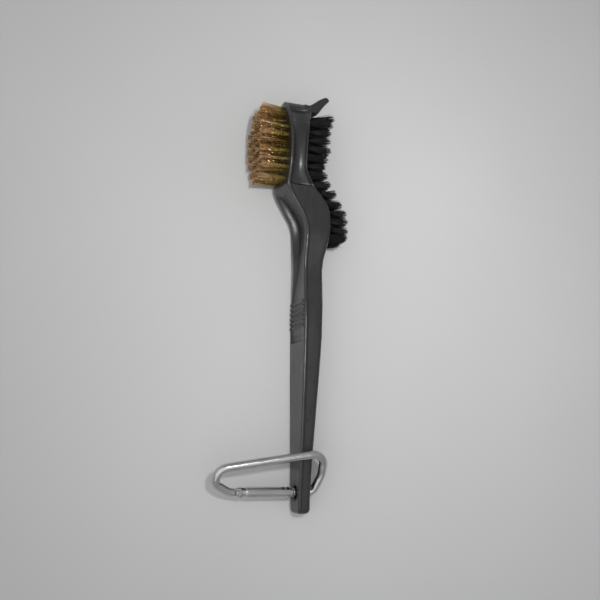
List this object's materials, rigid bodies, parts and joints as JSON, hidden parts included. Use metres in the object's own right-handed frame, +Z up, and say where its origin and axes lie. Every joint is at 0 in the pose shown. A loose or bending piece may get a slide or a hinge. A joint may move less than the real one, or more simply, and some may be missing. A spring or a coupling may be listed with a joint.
{
  "type": "club groove brush",
  "caption": "Long black brush with a bent neck, brass bristles on one face, nylon bristles on the back, a pick horn and a swinging snap hook with a sprung gate.",
  "frame": {"origin": "on the floor, under the middle of the brush and its snap hook as they lie", "axes": "+Z up from the floor, +Y along the handle to the head, +X to the nylon side; the brass side faces -X"},
  "size_m": [0.0639, 0.2046, 0.0301],
  "materials": {
    "black_plastic": "moulded, fine grain, half gloss",
    "brass_wire": "crimped wire",
    "black_nylon": "filament",
    "aluminium": "polished"
  },
  "bodies": {
    "brush": {"handle": "black_plastic", "brass_row_1": "brass_wire", "brass_row_2": "brass_wire", "brass_row_3": "brass_wire", "brass_row_4": "brass_wire", "brass_row_5": "brass_wire", "brass_row_6": "brass_wire", "brass_row_7": "brass_wire", "brass_row_8": "brass_wire", "brass_row_9": "brass_wire", "brass_row_10": "brass_wire", "nylon_row_1": "black_nylon", "nylon_row_2": "black_nylon", "nylon_row_3": "black_nylon", "nylon_row_4": "black_nylon", "nylon_row_5": "black_nylon", "nylon_row_6": "black_nylon", "nylon_row_7": "black_nylon", "nylon_row_8": "black_nylon", "nylon_row_9": "black_nylon", "nylon_row_10": "black_nylon", "nylon_row_11": "black_nylon", "nylon_row_12": "black_nylon", "nylon_row_13": "black_nylon", "nylon_row_14": "black_nylon", "nylon_row_15": "black_nylon"},
    "hook": {"hook_body": "aluminium", "gate_rivet": "aluminium"},
    "gate": {"hook_gate": "aluminium", "catch_pin": "aluminium"}
  },
  "joints": [
    {"name": "hook_swing", "type": "hinge", "parent": "brush", "child": "hook", "pos_m": [0.01132, -0.09259, 0.00761], "axis": [0.9981, 0.0025, -0.0612], "range_deg": [0, 290]},
    {"name": "gate_pivot", "type": "hinge", "parent": "hook", "child": "gate", "pos_m": [-0.01782, -0.09267, 0.0094], "axis": [0.0522, -0.557, 0.8289], "range_deg": [0, 22], "stiffness_Nm_per_rad": 0.08, "springref_deg": -20.05}
  ]
}
